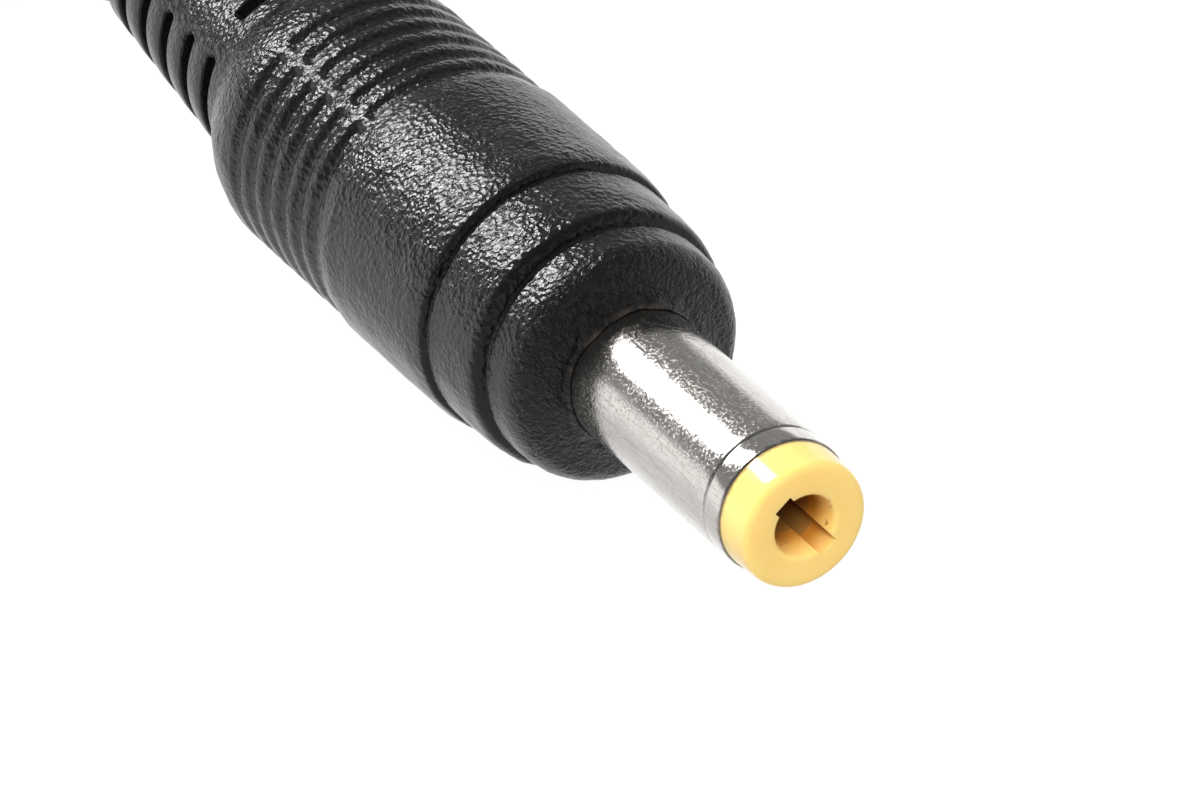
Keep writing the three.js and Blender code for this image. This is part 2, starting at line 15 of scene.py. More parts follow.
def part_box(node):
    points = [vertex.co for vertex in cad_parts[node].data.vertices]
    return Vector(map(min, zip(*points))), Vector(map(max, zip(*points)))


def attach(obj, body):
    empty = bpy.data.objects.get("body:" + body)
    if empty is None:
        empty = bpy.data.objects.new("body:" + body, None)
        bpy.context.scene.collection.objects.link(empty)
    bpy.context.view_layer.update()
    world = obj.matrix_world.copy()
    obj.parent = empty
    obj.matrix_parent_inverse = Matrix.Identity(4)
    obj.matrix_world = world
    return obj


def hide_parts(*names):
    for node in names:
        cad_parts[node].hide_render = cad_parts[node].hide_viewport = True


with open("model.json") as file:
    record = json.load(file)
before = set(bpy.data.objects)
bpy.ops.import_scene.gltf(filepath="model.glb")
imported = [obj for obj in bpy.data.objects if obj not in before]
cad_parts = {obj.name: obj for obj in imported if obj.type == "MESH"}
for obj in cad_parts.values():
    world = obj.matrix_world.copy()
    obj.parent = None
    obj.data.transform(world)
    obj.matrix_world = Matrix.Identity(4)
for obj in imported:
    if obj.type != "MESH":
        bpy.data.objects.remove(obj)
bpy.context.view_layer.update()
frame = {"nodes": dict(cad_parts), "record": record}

MM = 0.001

# ------------------------------------------------------------------ dimensions

# Brick
BRICK_LOW, BRICK_HIGH = (Vector(c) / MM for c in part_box("case_top"))
CASE_LENGTH = BRICK_HIGH.x - BRICK_LOW.x
CASE_WIDTH = BRICK_HIGH.y - BRICK_LOW.y
CASE_TOP = BRICK_HIGH.z
CASE_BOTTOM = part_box("case_bottom")[0][2] / MM
CASE_SEAM = 15.15
CASE_SEAM_GAP = 0.15  # from the seam to each half
CASE_CORNER = 6.0
CASE_EDGE = 2.5
CASE_WALL = 2.2
FIT_GAP = 0.3  # round the pieces that stand in the case
INLET = {"width": 28.4, "height": 20.4, "depth": 20, "floor": 3.5, "z": 15.15}
SOCKET = {"width": 24.4, "height": 16.4, "chamfer": 5}
BLADES = {"inlet_pin_live": (-7, -2), "inlet_pin_neutral": (7, -2), "inlet_pin_earth": (0, 2)}
BLADE_THICK, BLADE_TALL, BLADE_STICKS_OUT = 2, 4, 14
FEET = {
    "foot_inlet_left": (44, -14.5), "foot_inlet_right": (44, 14.5),
    "foot_cord_left": (-44, -14.5), "foot_cord_right": (-44, 14.5),
}
FOOT_RADIUS, FOOT_TOP = 4.5, 1.4
LABEL_LENGTH, LABEL_WIDTH, LABEL_CORNER = 70, 30, 2
LABEL_RECESS = 0.45
LIGHT_PIPE_PLACE, LIGHT_PIPE_RADIUS = (-45.5, -16.4), 1.3
DC_EXIT_Z = 14.6
DC_EXIT_RADIUS = 4.5

# Cord
CORD_RADIUS = 2.3
COIL_CENTRE = (-36.0, -72.0)
COIL_MID_RADIUS = 25.9
COIL_PITCH = 4.7
COIL_COLUMNS = 5
COIL_TURNS = 10
COIL_LIFT = 1.2
BRICK_LEAD = [
    (-75.2, 0, 14.6), (-80.5, 0, 14.5), (-85, -0.4, 13.8), (-90, -2, 12), (-94.8, -5, 9.4),
    (-98.6, -9.4, 6.6), (-101, -14.4, 4.2), (-101.6, -19.6, 2.8), (-100.2, -25, 2.4),
    (-96.8, -29.7, 2.35), (-91.6, -33.4, 2.35), (-85.4, -35.9, 2.35), (-78.6, -36.8, 2.35),
    (-71.5, -36.8, 2.4), (-64, -36.8, 2.6), (-56.5, -36.75, 2.9), (-49, -36.7, 3.3),
    (-42, -36.7, 3.5),
]
PLUG_LEAD = [
    (-13.5, -44.2, 8.1), (-8.3, -47.3, 7.6), (-3.1, -50.4, 6.6), (2.1, -53.5, 5.2),
    (7.3, -56.6, 3.9), (12.5, -59.7, 2.9), (17.7, -62.8, 2.45), (22.9, -65.9, 2.35),
    (28.1, -69, 2.35), (33.3, -72, 2.4), (38.3, -74.95, 2.6), (43.3, -78.2, 3.4),
    (48.3, -81.5, 4.85), (51.1, -83.8, 5.65), (51.75, -84.82, 5.79), (52.4, -85.94, 5.8),
]
STRAP_ANGLE = 225
STRAP_WIDTH = 9
STRAP_THICK = 0.8
STRAP_EDGE = 0.3

# Plug
PLUG_RIM = Vector((75, -125, 5.8))
PLUG_TURN = math.radians(30.05)
GRIP_RADIUS = 5.79
BARREL_RADIUS = 2.75
BARREL_FRONT = 10.78  # where the sleeve comes out of the moulding
TIP_RADIUS = 2.6
TIP_FACE = -1.65
TIP_BORE = 1.05
TIP_MOUTH = 1.28
TIP_END = 3.5
TIP_SLOT = (0.8, 3.08)
TIP_SLOT_ANGLE = 39.5
RIB_FIRST, RIB_PITCH, RIB_COUNT = 25.1, 1.18, 6
RIB_RADIUS, RIB_DEPTH, RIB_HALF_WIDTH = 5.66, 0.17, 0.43
PARTING_ANGLE = 36.5
SHOULDER_END = 34.98
BOOT_START, BOOT_END = 35.8, 46.2
BOOT_RADIUS, BOOT_TAPER = 4.14, 0.112  # at s = 36, and what each millimetre takes off it
SLOT_FIRST, SLOT_PITCH, SLOT_COUNT, SLOT_WIDTH = 36.3, 2.03, 5, 0.65
SPINE_ANGLE, SPINE_WIDTH = 51.5, 24

AXIS = Vector((-math.sin(PLUG_TURN), math.cos(PLUG_TURN), 0))
UP = Vector((0, 0, 1))
SIDE = UP.cross(AXIS)


def plug_point(s, radius, angle):
    a = math.radians(angle)
    return PLUG_RIM + AXIS * s + (UP * math.cos(a) + SIDE * math.sin(a)) * radius


def ease(t):
    """0 up to t = 0, 1 from t = 1, and a smooth step between."""
    t = min(max(t, 0), 1)
    return t * t * (3 - 2 * t)


# ------------------------------------------------------------------ camera

CAMERA_LENS = 493.95
CAMERA_DISTANCE = 600
CAMERA_PITCH = math.radians(31.27)
CAMERA_OFFSET = (-6.664, 3.869)  # of the camera's line from the plug's rim, right and up


def make_camera():
    forward = Vector((0, math.cos(CAMERA_PITCH), -math.sin(CAMERA_PITCH)))
    up = Vector((0, math.sin(CAMERA_PITCH), math.cos(CAMERA_PITCH)))
    right = forward.cross(up)
    data = bpy.data.cameras.new("camera")
    data.lens = CAMERA_LENS
    data.sensor_width = 36
    data.clip_start, data.clip_end = 0.05, 60
    camera = bpy.data.objects.new("camera", data)
    place = PLUG_RIM + right * CAMERA_OFFSET[0] + up * CAMERA_OFFSET[1]
    camera.location = (place - forward * CAMERA_DISTANCE) * MM
    turn = Matrix((right, up, -forward)).transposed()
    camera.rotation_euler = turn.to_euler()
    bpy.context.collection.objects.link(camera)
    bpy.context.scene.camera = camera


# ------------------------------------------------------------------ mesh tools

def new_object(name, verts, faces, smooth_angle=40):
    """A mesh object from millimetre points."""
    mesh = bpy.data.meshes.new(name)
    mesh.from_pydata([tuple(c * MM for c in v) for v in verts], [], faces)
    mesh.validate()
    obj = bpy.data.objects.new(name, mesh)
    bpy.context.collection.objects.link(obj)
    smooth(obj, smooth_angle)
    return obj


def smooth(obj, angle=40):
    mesh = obj.data
    mesh.shade_smooth()
    mesh.set_sharp_from_angle(angle=math.radians(angle))


def grid_faces(rows, columns, closed_rows=False):
    """Quads between the points of closed rings, ring after ring."""
    faces = []
    last = rows if closed_rows else rows - 1
    for i in range(last):
        below, above = i * columns, ((i + 1) % rows) * columns
        for j in range(columns):
            k = (j + 1) % columns
            faces.append((below + j, below + k, above + k, above + j))
    return faces


def fillet(points, steps=5):
    """An outline whose corners, given as (s, r, fillet radius), are rounded."""
    line = [Vector(p[:2]) for p in points]
    radii = [p[2] if len(p) > 2 else 0 for p in points]
    out = [line[0]]
    for i in range(1, len(line) - 1):
        to_last = line[i - 1] - line[i]
        to_next = line[i + 1] - line[i]
        reach = min(radii[i], 0.49 * to_last.length, 0.49 * to_next.length)
        if reach < 1e-4:
            out.append(line[i])
            continue
        start = line[i] + to_last.normalized() * reach
        end = line[i] + to_next.normalized() * reach
        for k in range(steps + 1):
            t = k / steps
            out.append(start * (1 - t) ** 2 + line[i] * 2 * t * (1 - t) + end * t ** 2)
    out.append(line[-1])
    return out


def resample(outline, spacing):
    """Adds points to an outline so that no step is longer than spacing."""
    out = [outline[0]]
    for a, b in zip(outline, outline[1:]):
        count = max(1, math.ceil((b - a).length / spacing))
        out.extend(a.lerp(b, k / count) for k in range(1, count + 1))
    return out


def lathe(name, outline, sides, place=plug_point, smooth_angle=40):
    """Turns an outline of (s, r) about the axis that place stands for. An outline that starts
    off the axis is a closed ring; one that starts on it also ends there."""
    verts, faces, rings = [], [], []
    for s, r in outline:
        start = len(verts)
        if r < 1e-6:
            verts.append(place(s, 0, 0))
            rings.append((start, 1))
        else:
            verts.extend(place(s, r, 360 * j / sides) for j in range(sides))
            rings.append((start, sides))
    pairs = list(zip(rings, rings[1:]))
    if outline[0][1] > 1e-6:
        pairs.append((rings[-1], rings[0]))
    for (a, count_a), (b, count_b) in pairs:
        for j in range(sides):
            k = (j + 1) % sides
            if count_a == 1:
                faces.append((a, b + k, b + j))
            elif count_b == 1:
                faces.append((a + j, a + k, b))
            else:
                faces.append((a + j, a + k, b + k, b + j))
    obj = new_object(name, verts, faces, smooth_angle)
    face_outwards(obj)
    return obj


def rounded_ring(length, width, corner, z, steps=10):
    """The outline of a rounded rectangle, level at z."""
    ring = []
    for k, (sx, sy) in enumerate(((1, 1), (-1, 1), (-1, -1), (1, -1))):
        for i in range(steps + 1):
            a = math.radians(90 * (k + i / steps))
            ring.append((
                sx * (length / 2 - corner) + corner * math.cos(a),
                sy * (width / 2 - corner) + corner * math.sin(a), z,
            ))
    return ring


def loft(name, rings, smooth_angle=35):
    """Skin over rings of equal count, with flat ends."""
    count = len(rings[0])
    faces = grid_faces(len(rings), count)
    faces.append(tuple(range(count)))
    last = (len(rings) - 1) * count
    faces.append(tuple(last + j for j in reversed(range(count))))
    obj = new_object(name, [p for ring in rings for p in ring], faces, smooth_angle)
    face_outwards(obj)
    return obj


def directions(line):
    """The way that a line runs at each of its points."""
    last = len(line) - 1
    return [
        (line[min(i + 1, last)] - line[max(i - 1, 0)]).normalized() for i in range(last + 1)
    ]


def face_outwards(obj):
    work = bmesh.new()
    work.from_mesh(obj.data)
    bmesh.ops.recalc_face_normals(work, faces=work.faces)
    work.to_mesh(obj.data)
    work.free()


def cut(obj, cutter):
    """Cuts a throwaway solid out of a piece."""
    modifier = obj.modifiers.new("cut", "BOOLEAN")
    modifier.operation = "DIFFERENCE"
    modifier.solver = "EXACT"
    modifier.object = cutter
    apply_modifiers(obj)
    bpy.data.objects.remove(cutter, do_unlink=True)


def apply_modifiers(obj):
    graph = bpy.context.evaluated_depsgraph_get()
    made = bpy.data.meshes.new_from_object(obj.evaluated_get(graph))
    obj.modifiers.clear()
    old = obj.data
    obj.data = made
    bpy.data.meshes.remove(old)


def block(name, low, high, bevel=0.0, segments=2):
    """A box by its corners, with rounded edges."""
    work = bmesh.new()
    bmesh.ops.create_cube(work, size=1)
    size = [h - l for l, h in zip(low, high)]
    middle = [(l + h) / 2 for l, h in zip(low, high)]
    for v in work.verts:
        v.co = Vector([m + c * d for m, c, d in zip(middle, v.co, size)]) * MM
    if bevel:
        bmesh.ops.bevel(
            work, geom=work.edges[:], offset=bevel * MM, segments=segments,
            profile=0.5, affect="EDGES",
        )
    mesh = bpy.data.meshes.new(name)
    work.to_mesh(mesh)
    work.free()
    obj = bpy.data.objects.new(name, mesh)
    bpy.context.collection.objects.link(obj)
    smooth(obj, 35)
    return obj


# ------------------------------------------------------------------ materials

class Nodes:
    """A short way to write a node tree."""

    def __init__(self, tree):
        self.tree = tree

    def node(self, kind, **values):
        node = self.tree.nodes.new(kind)
        for key, value in values.items():
            setattr(node, key, value)
        return node

    def link(self, source, target):
        if isinstance(source, bpy.types.NodeSocket):
            self.tree.links.new(source, target)
        else:
            target.default_value = source

    def math(self, operation, a, b=0.0, c=0.0):
        node = self.node("ShaderNodeMath", operation=operation)
        for source, target in zip((a, b, c), node.inputs):
            self.link(source, target)
        return node.outputs["Value"]

    def times(self, a, b):
        return self.math("MULTIPLY", a, b)

    def plus(self, a, source, factor):
        """a with factor times source added."""
        return self.math("MULTIPLY_ADD", source, factor, a)

    def span(self, source, low, high, to_low=0.0, to_high=1.0):
        """Eases from to_low to to_high as the source goes from low to high."""
        node = self.node("ShaderNodeMapRange", interpolation_type="SMOOTHSTEP")
        self.link(source, node.inputs["Value"])
        for value, name in (
            (low, "From Min"), (high, "From Max"), (to_low, "To Min"), (to_high, "To Max"),
        ):
            node.inputs[name].default_value = value
        return node.outputs["Result"]

    def dot(self, source, way):
        node = self.node("ShaderNodeVectorMath", operation="DOT_PRODUCT")
        self.link(source, node.inputs[0])
        node.inputs[1].default_value = way
        return node.outputs["Value"]


class Shader(Nodes):
    """The node tree of one material."""

    INPUTS = {
        "base": "Base Color", "rough": "Roughness", "metal": "Metallic",
        "specular": "Specular IOR Level", "normal": "Normal",
        "sheen": "Sheen Weight", "sheen_rough": "Sheen Roughness",
        "subsurface": "Subsurface Weight", "subsurface_scale": "Subsurface Scale",
        "subsurface_radius": "Subsurface Radius", "transmission": "Transmission Weight",
        "emission": "Emission Color", "emission_strength": "Emission Strength",
    }

    def __init__(self, name):
        self.material = bpy.data.materials.new(name)
        self.material.use_nodes = True
        super().__init__(self.material.node_tree)
        self.bsdf = self.tree.nodes["Principled BSDF"]
        self.coords = self.node("ShaderNodeTexCoord").outputs["Object"]

    def set(self, **values):
        for key, value in values.items():
            if key in ("base", "emission") and isinstance(value, tuple):
                value = (*value, 1)
            self.link(value, self.bsdf.inputs[self.INPUTS[key]])

    def scaled(self, size, stretch=(1, 1, 1), turn=0.0):
        """Object coordinates in units of size millimetres, turned about Z and stretched."""
        turned = self.node("ShaderNodeMapping", vector_type="POINT")
        turned.inputs["Rotation"].default_value = (0, 0, turn)
        self.link(self.coords, turned.inputs["Vector"])
        mapping = self.node("ShaderNodeMapping", vector_type="POINT")
        mapping.inputs["Scale"].default_value = [1 / (size * MM * k) for k in stretch]
        self.link(turned.outputs["Vector"], mapping.inputs["Vector"])
        return mapping.outputs["Vector"]

    def noise(self, size, detail=3.0, rough=0.5, distortion=0.0, stretch=(1, 1, 1), turn=0.0):
        node = self.node("ShaderNodeTexNoise")
        self.link(self.scaled(size, stretch, turn), node.inputs["Vector"])
        node.inputs["Scale"].default_value = 1
        node.inputs["Detail"].default_value = detail
        node.inputs["Roughness"].default_value = rough
        node.inputs["Distortion"].default_value = distortion
        return node.outputs["Fac"]

    def warped_cells(self, size, warp, warp_size):
        """Cells of one size in millimetres, pushed about by warp times a coarser noise."""
        field = self.node("ShaderNodeTexNoise")
        self.link(self.scaled(warp_size), field.inputs["Vector"])
        field.inputs["Scale"].default_value = 1
        mix = self.node("ShaderNodeVectorMath", operation="MULTIPLY_ADD")
        self.link(field.outputs["Color"], mix.inputs[0])
        mix.inputs[1].default_value = (warp, warp, warp)
        self.link(self.scaled(size), mix.inputs[2])
        node = self.node("ShaderNodeTexVoronoi", feature="F1")
        self.link(mix.outputs["Vector"], node.inputs["Vector"])
        node.inputs["Scale"].default_value = 1
        return node.outputs["Distance"]

    def blend(self, factor, a, b):
        node = self.node("ShaderNodeMix", data_type="RGBA")
        self.link(factor, node.inputs["Factor"])
        for value, target in ((a, node.inputs["A"]), (b, node.inputs["B"])):
            if isinstance(value, tuple):
                value = (*value[:3], 1)
            self.link(value, target)
        return node.outputs["Result"]

    def bump(self, height, distance, strength=1.0, normal=None):
        """height is 0 to 1, over distance millimetres."""
        node = self.node("ShaderNodeBump")
        node.inputs["Strength"].default_value = strength
        node.inputs["Distance"].default_value = distance * MM
        self.link(height, node.inputs["Height"])
        if normal is not None:
            self.link(normal, node.inputs["Normal"])
        return node.outputs["Normal"]

    def from_rim(self, way):
        """Millimetres from the plug's rim in one direction."""
        return self.math("SUBTRACT", self.dot(self.coords, way / MM), PLUG_RIM.dot(way))

    def along_plug(self):
        """Millimetres back from the plug's rim along its axis."""
        return self.from_rim(AXIS)

    def from_axis(self):
        """Millimetres from the plug's axis."""
        offset = self.node("ShaderNodeVectorMath", operation="SUBTRACT")
        self.link(self.coords, offset.inputs[0])
        offset.inputs[1].default_value = PLUG_RIM * MM
        cross = self.node("ShaderNodeVectorMath", operation="CROSS_PRODUCT")
        self.link(offset.outputs["Vector"], cross.inputs[0])
        cross.inputs[1].default_value = AXIS / MM
        length = self.node("ShaderNodeVectorMath", operation="LENGTH")
        self.link(cross.outputs["Vector"], length.inputs[0])
        return length.outputs["Value"]


def plug_moulding_material():
    m = Shader("plug_moulding")
    along = m.along_plug()
    patches = m.noise(3.0, 3, 0.55)
    height = m.plus(m.warped_cells(0.23, 1.2, 0.33), m.noise(0.12, 2, 0.5), 0.3)
    height = m.plus(height, m.noise(0.5, 2, 0.5, 0.4), 0.35)
    # The grain is worn down everywhere but on the flank that faces up and towards the coil
    flank = m.from_rim(UP * 0.82 + SIDE * 0.57)
    height = m.times(height, m.span(flank, 0.8, 4.4, 0.33, 1.0))
    # The front face is wrinkled
    front = m.span(along, 11.2, 12.1, 1.0, 0.0)
    wrinkle = m.times(m.noise(0.34, 3, 0.55, 1.4), front)
    normal = m.bump(wrinkle, 0.16, 1.0, m.bump(height, 0.044))
    tone = m.blend(patches, (0.002, 0.002, 0.0022), (0.0045, 0.0043, 0.0041))
    dust = m.span(m.noise(0.22, 2, 0.7), 0.66, 0.8)
    tone = m.blend(m.times(dust, 0.1), tone, (0.09, 0.085, 0.08))
    # Brownish residue where the moulding meets the sleeve
    lip = m.span(m.from_axis(), 2.86, 3.12, 1.0, 0.0)
    lip = m.times(lip, m.span(along, 10.9, 11.4, 1.0, 0.0))
    lip = m.times(lip, m.span(m.noise(0.6, 3, 0.6), 0.46, 0.64, 0.0, 0.45))
    tone = m.blend(lip, tone, (0.075, 0.058, 0.045))
    rough = m.span(patches, 0.25, 0.75, 0.22, 0.3)
    m.set(base=tone, rough=rough, specular=0.5, normal=normal)
    return m.material


def nickel_material():
    m = Shader("nickel")
    along = m.along_plug()
    haze = m.noise(1.6, 4, 0.6)
    streaks = m.noise(0.09, 4, 0.7, 0.0, (1, 16, 1), -PLUG_TURN)
    peel = m.noise(0.17, 3, 0.7)
    speckle = m.span(m.noise(0.11, 3, 0.7), 0.55, 0.68)
    drift = m.noise(0.5, 3, 0.6)
    pits = m.span(m.noise(0.12, 2, 0.6), 0.68, 0.76)
    wear = m.span(m.noise(0.45, 5, 0.72), 0.52, 0.72)
    colour = m.blend(haze, (0.57, 0.55, 0.52), (0.68, 0.66, 0.63))
    colour = m.blend(m.times(wear, 0.3), colour, (0.4, 0.35, 0.28))
    colour = m.blend(m.span(streaks, 0.45, 0.75, 0.0, 0.4), colour, (0.3, 0.28, 0.26))
    colour = m.blend(m.times(pits, 0.7), colour, (0.1, 0.085, 0.07))
    # Painted reflection: next to the moulding the sleeve is darkened and mottled, standing in
    # for the dark moulding that it mirrors. The turned line is darkened as painted shade, and
    # dirt gathers along the rim
    root = m.span(m.plus(along, drift, 2.2), 10.0, 11.9)
    root = m.times(root, m.span(along, 15.0, 16.0, 1.0, 0.0))
    colour = m.blend(m.times(root, 0.6), colour, (0.09, 0.08, 0.07))
    # Painted shade: the turned groove is darkened as if shade lay in it
    line = m.math("ABSOLUTE", m.math("SUBTRACT", along, 1.06))
    colour = m.blend(m.span(line, 0.02, 0.07, 0.4, 0.0), colour, (0.06, 0.055, 0.05))
    rim = m.span(m.plus(along, drift, -0.5), -0.22, -0.08, 1.0, 0.0)
    colour = m.blend(m.times(rim, 0.5), colour, (0.13, 0.085, 0.05))
    # The turned rim is smoother than the rolled sleeve behind it
    sleeve = m.span(along, 1.0, 1.1)
    rough = m.plus(m.span(haze, 0.2, 0.8, 0.05, 0.11), wear, 0.08)
    rough = m.plus(m.times(rough, m.span(sleeve, 0, 1, 0.6)), root, 0.25)
    grain = m.times(m.plus(peel, speckle, 0.45), m.span(sleeve, 0, 1, 0.25))
    normal = m.bump(streaks, 0.004, 0.7, m.bump(grain, 0.01, 1.0, m.bump(pits, 0.012, 0.6)))
    m.set(base=colour, metal=1.0, rough=rough, normal=normal)
    return m.material


def yellow_material():
    m = Shader("yellow_plastic")
    cloud = m.noise(1.2, 3, 0.5)
    fine = m.noise(0.14, 3, 0.6)
    speck = m.span(m.noise(0.1, 1, 0.5), 0.74, 0.8)
    colour = m.blend(cloud, (0.96, 0.62, 0.18), (0.99, 0.7, 0.24))
    # Brown dirt at the mouth of the bore and against the metal rim
    along, radius = m.along_plug(), m.from_axis()
    mouth = m.times(m.span(radius, 0.95, 1.12), m.span(radius, 1.22, 1.4, 1.0, 0.0))
    dirt = m.times(m.span(m.noise(0.3, 2, 0.6), 0.63, 0.7), 0.75)
    colour = m.blend(m.times(mouth, dirt), colour, (0.2, 0.12, 0.04))
    # The plastic is amber where light only reaches it through the rest of the piece
    inside = m.times(m.span(radius, 1.66, 1.74, 1.0, 0.0), m.span(along, -1.75, -0.35))
    colour = m.blend(m.times(inside, 0.97), colour, (0.6, 0.24, 0.03))
    foot = m.span(m.plus(along, m.noise(0.3, 3, 0.7), 0.3), 0.03, 0.1)
    colour = m.blend(m.times(foot, 0.6), colour, (0.35, 0.2, 0.06))
    colour = m.blend(m.times(speck, 0.3), colour, (0.5, 0.3, 0.1))
    m.set(
        base=colour, rough=m.span(fine, 0.3, 0.7, 0.09, 0.15), specular=0.5,
        subsurface=0.4, subsurface_scale=0.0012, subsurface_radius=(1.0, 0.6, 0.22),
        normal=m.bump(fine, 0.006, 0.5),
    )
    return m.material


def moulded_material(name, dark, light, size=0.35, depth=0.02, rough=(0.46, 0.51)):
    """Moulded plastic with an even spark-eroded texture."""
    m = Shader(name)
    patches = m.noise(9.0, 3, 0.5)
    grain = m.noise(size, 3, 0.6)
    scuff = m.span(m.noise(2.6, 4, 0.7, 0.5), 0.6, 0.72)
    colour = m.blend(patches, dark, light)
    colour = m.blend(m.times(scuff, 0.18), colour, tuple(3 * c for c in light))
    m.set(
        base=colour, rough=m.span(patches, 0.3, 0.7, *rough), specular=0.45,
        normal=m.bump(grain, depth),
    )
    return m.material


def metal_material(name, low, high):
    """Drawn metal, lined along Z."""
    m = Shader(name)
    haze = m.noise(2.5, 3, 0.6)
    lines = m.noise(0.3, 4, 0.6, 0, (1, 1, 8))
    m.set(
        base=m.blend(haze, low, high), metal=1.0, rough=m.span(haze, 0.3, 0.7, 0.25, 0.42),
        normal=m.bump(lines, 0.01, 0.5),
    )
    return m.material


def clear_material():
    m = Shader("clear_plastic")
    haze = m.noise(1.5, 2, 0.5)
    m.set(
        base=m.blend(haze, (0.75, 0.86, 0.75), (0.85, 0.93, 0.85)), transmission=0.6,
        rough=m.span(haze, 0.3, 0.7, 0.12, 0.25),
    )
    return m.material


def strap_material():
    m = Shader("strap_fabric")
    weave = m.node("ShaderNodeTexWave", wave_type="BANDS", bands_direction="DIAGONAL")
    m.link(m.scaled(0.9), weave.inputs["Vector"])
    weave.inputs["Scale"].default_value = 1
    weave.inputs["Distortion"].default_value = 2
    fluff = m.noise(0.25, 4, 0.7)
    height = m.plus(weave.outputs["Fac"], fluff, 0.8)
    colour = m.blend(fluff, (0.012, 0.012, 0.014), (0.05, 0.05, 0.055))
    m.set(base=colour, rough=0.9, sheen=0.06, sheen_rough=0.5, normal=m.bump(height, 0.15))
    return m.material


def make_materials():
    made = {
        "plug_moulding": plug_moulding_material(),
        "nickel": nickel_material(),
        "yellow_plastic": yellow_material(),
        "clear_plastic": clear_material(),
        "strap_fabric": strap_material(),
        "contact_brass": metal_material("contact_brass", (0.55, 0.36, 0.12), (0.75, 0.53, 0.22)),
        "aluminium": metal_material("aluminium", (0.5, 0.5, 0.51), (0.68, 0.68, 0.69)),
        "ferrite": moulded_material(
            "ferrite", (0.03, 0.03, 0.033), (0.06, 0.06, 0.065), 0.5, 0.05, (0.6, 0.75),
        ),
        "copper": metal_material("copper", (0.45, 0.16, 0.06), (0.65, 0.27, 0.1)),
    }
    plastics = {
        "case_plastic": ((0.012, 0.012, 0.0125), (0.02, 0.02, 0.021)),
        "inlet_plastic": ((0.008, 0.008, 0.009), (0.014, 0.014, 0.015)),
        "foot_rubber": ((0.012, 0.012, 0.012), (0.022, 0.022, 0.022)),
        "cord_jacket": ((0.011, 0.011, 0.012), (0.02, 0.02, 0.021)),
        "white_plastic": ((0.7, 0.67, 0.6), (0.8, 0.78, 0.72)),
        "board": ((0.015, 0.09, 0.03), (0.03, 0.13, 0.045)),
        "sheet": ((0.6, 0.56, 0.42), (0.7, 0.66, 0.52)),
        "label_film": ((0.2, 0.205, 0.21), (0.25, 0.255, 0.26)),
        "tape": ((0.62, 0.42, 0.07), (0.72, 0.52, 0.11)),
        "black_epoxy": ((0.015, 0.015, 0.016), (0.03, 0.03, 0.032)),
        "can_sleeve": ((0.01, 0.015, 0.05), (0.02, 0.025, 0.08)),
        "film_case": ((0.6, 0.4, 0.03), (0.7, 0.5, 0.06)),
        "disc_coating": ((0.02, 0.1, 0.35), (0.04, 0.16, 0.45)),
        "wire_red": ((0.4, 0.01, 0.01), (0.55, 0.02, 0.02)),
        "wire_blue": ((0.01, 0.03, 0.35), (0.02, 0.06, 0.5)),
        "wire_black": ((0.012, 0.012, 0.012), (0.02, 0.02, 0.02)),
    }
    for name, (dark, light) in plastics.items():
        made[name] = moulded_material(name, dark, light)
    return made


def dress(obj, slot):
    """Gives a new piece its finish and its body."""
    obj.data.materials.clear()
    obj.data.materials.append(MATERIALS[slot])
    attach(obj, "root")


def dress_nodes():
    """Gives every CAD node the finish of its material slot."""
    for part in frame["record"]["subparts"]:
        obj = frame["nodes"][part["node"]]
        obj.data.materials.clear()
        obj.data.materials.append(MATERIALS[part["material_slot"]])


# ------------------------------------------------------------------ cord

def coil_points():
    """The coil's centreline, turning clockwise from its back: in along the lower layer, out
    along the upper one."""
    per_turn = 36
    past_last_turn = per_turn // 12
    round_part = 0.62  # of each turn, before it steps to the next radius
    climb = 0.7  # turns taken by the step from the lower layer to the upper one
    floor_gap = 0.06
    left, reached = 14, 50  # degrees from the strap at which the turns start down and lie flat
    outer = COIL_MID_RADIUS + COIL_PITCH * (COIL_COLUMNS - 1) / 2
    half = COIL_TURNS / 2
    points = []
    for i in range(COIL_TURNS * per_turn + past_last_turn + 1):
        turn = i / per_turn
        angle = math.pi / 2 - 2 * math.pi * turn
        layer_turn = turn if turn < half else COIL_TURNS - turn
        whole = math.floor(layer_turn + 1e-9)
        step = whole + ease((layer_turn - whole - round_part) / (1 - round_part))
        radius = outer - COIL_PITCH * min(max(step, 0), COIL_COLUMNS - 1)
        layer = ease((turn - half + climb / 2) / climb)
        # The strap's underside holds the turns off the floor, which they meet further round
        off = abs((math.degrees(angle) - STRAP_ANGLE + 180) % 360 - 180)
        lift = floor_gap + (COIL_LIFT - floor_gap) * ease((reached - off) / (reached - left))
        points.append((
            COIL_CENTRE[0] + radius * math.cos(angle),
            COIL_CENTRE[1] + radius * math.sin(angle),
            lift + CORD_RADIUS + 0.02 + layer * 2 * CORD_RADIUS,
        ))
    return points


def smooth_path(points, spacing, steps=8):
    """A Catmull-Rom curve through the points, at even steps."""
    pts = [Vector(p) for p in points]
    dense = []
    for i in range(len(pts) - 1):
        p0, p1, p2 = pts[max(i - 1, 0)], pts[i], pts[i + 1]
        p3 = pts[min(i + 2, len(pts) - 1)]
        for k in range(steps):
            t = k / steps
            dense.append(0.5 * (
                2 * p1 + (p2 - p0) * t + (2 * p0 - 5 * p1 + 4 * p2 - p3) * t * t
                + (3 * p1 - p0 - 3 * p2 + p3) * t ** 3
            ))
    dense.append(pts[-1])
    out, carried = [dense[0]], 0.0
    for a, b in zip(dense, dense[1:]):
        length = (b - a).length
        while carried + length >= spacing:
            a = a.lerp(b, (spacing - carried) / length)
            length = (b - a).length
            carried = 0.0
            out.append(a)
        carried += length
    if (out[-1] - dense[-1]).length > spacing * 0.3:
        out.append(dense[-1])
    else:
        out[-1] = dense[-1]
    return out


